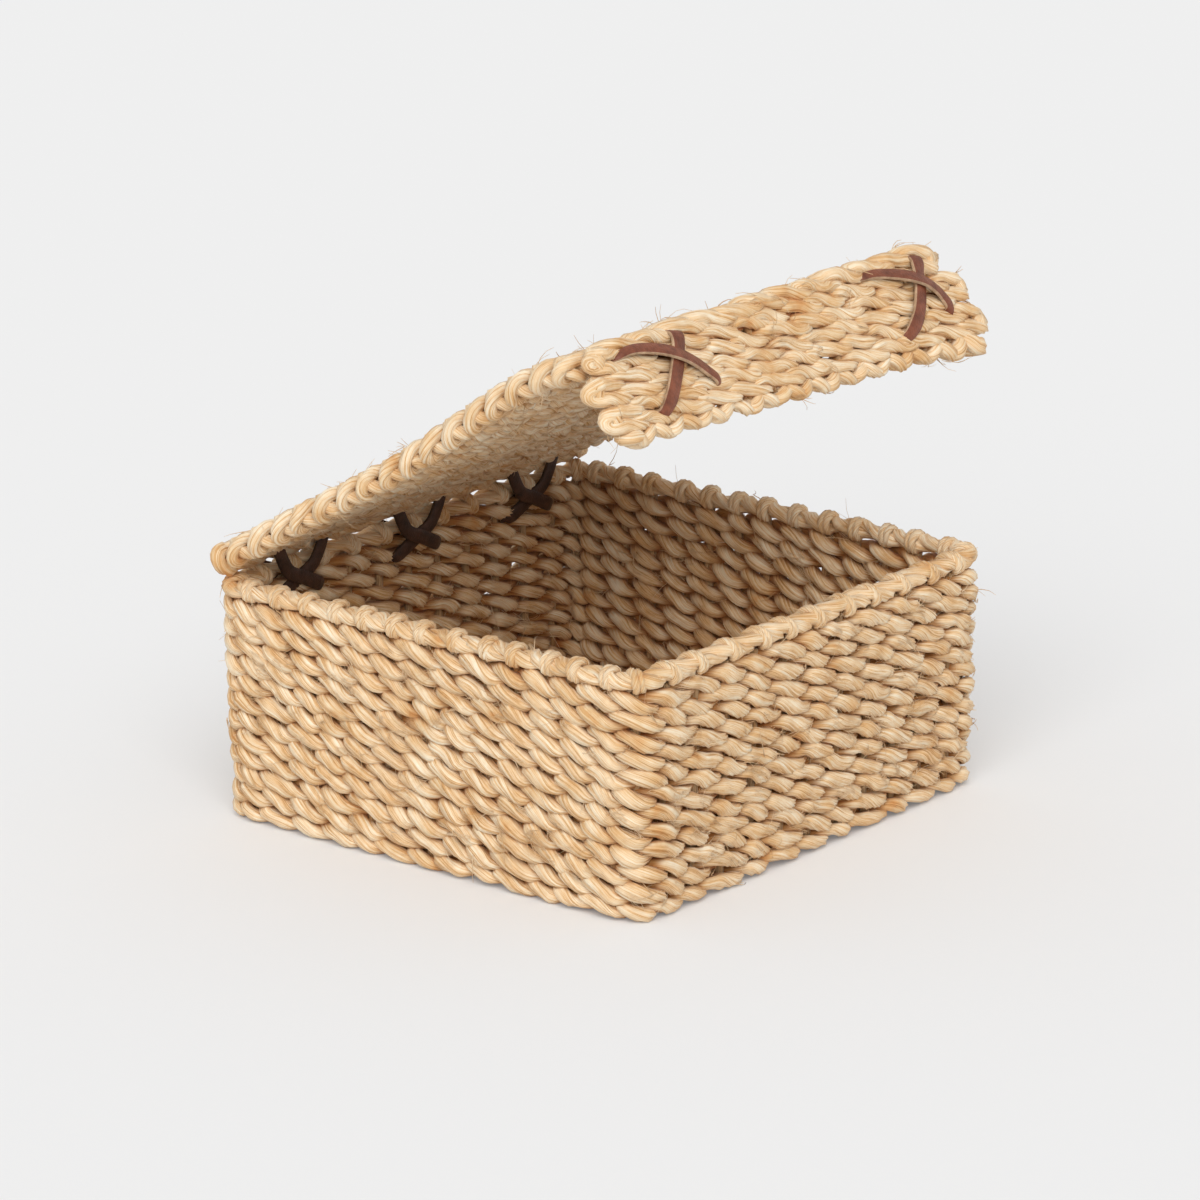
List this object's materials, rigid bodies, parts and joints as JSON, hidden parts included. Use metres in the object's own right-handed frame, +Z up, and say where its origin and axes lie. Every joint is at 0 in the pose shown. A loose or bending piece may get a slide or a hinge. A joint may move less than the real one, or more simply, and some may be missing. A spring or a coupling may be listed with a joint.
{
  "type": "napkin holder",
  "caption": "Square twined-fibre basket for a stack of folded paper napkins, with a woven lid that hinges on leather laces and a lip over the front.",
  "frame": {"origin": "centre of the base's flat underside", "axes": "+Z up, +X along the hinge to the right seen from the lip, -Y towards the lip"},
  "size_m": [0.2072, 0.1939, 0.195],
  "materials": {
    "twined_fibre": "twined plant fibre",
    "stake_fibre": "plain plant fibre",
    "hinge_leather": "smooth",
    "lip_leather": "smooth"
  },
  "bodies": {
    "box": {"base_mat": "twined_fibre", "wall_course_01": "twined_fibre", "wall_course_02": "twined_fibre", "wall_course_03": "twined_fibre", "wall_course_04": "twined_fibre", "wall_course_05": "twined_fibre", "wall_course_06": "twined_fibre", "wall_course_07": "twined_fibre", "wall_course_08": "twined_fibre", "wall_course_09": "twined_fibre", "wall_course_10": "twined_fibre", "wall_course_11": "twined_fibre", "rim_border": "twined_fibre", "stakes_front": "stake_fibre", "stakes_right": "stake_fibre", "stakes_rear": "stake_fibre", "stakes_left": "stake_fibre", "hinge_lace_left_inner": "hinge_leather", "hinge_lace_left_outer": "hinge_leather", "hinge_lace_middle_inner": "hinge_leather", "hinge_lace_middle_outer": "hinge_leather", "hinge_lace_right_inner": "hinge_leather", "hinge_lace_right_outer": "hinge_leather"},
    "lid": {"lid_stakes": "stake_fibre", "lid_course_01": "twined_fibre", "lid_course_02": "twined_fibre", "lid_course_03": "twined_fibre", "lid_course_04": "twined_fibre", "lid_course_05": "twined_fibre", "lid_course_06": "twined_fibre", "lid_course_07": "twined_fibre", "lid_course_08": "twined_fibre", "lid_course_09": "twined_fibre", "lid_course_10": "twined_fibre", "lid_course_11": "twined_fibre", "lid_course_12": "twined_fibre", "lid_course_13": "twined_fibre", "lid_course_14": "twined_fibre", "lid_course_15": "twined_fibre", "lid_course_16": "twined_fibre", "lip_course_01": "twined_fibre", "lip_course_02": "twined_fibre", "lip_course_03": "twined_fibre", "lip_stakes": "stake_fibre", "lip_border": "twined_fibre", "lip_lace_left_steep": "lip_leather", "lip_lace_left_long": "lip_leather", "lip_lace_right_steep": "lip_leather", "lip_lace_right_long": "lip_leather"}
  },
  "joints": [
    {"name": "lid_hinge", "type": "hinge", "parent": "box", "child": "lid", "pos_m": [0, 0.08925, 0.09225], "axis": [-1, 0, 0], "range_deg": [-30, 60]}
  ]
}
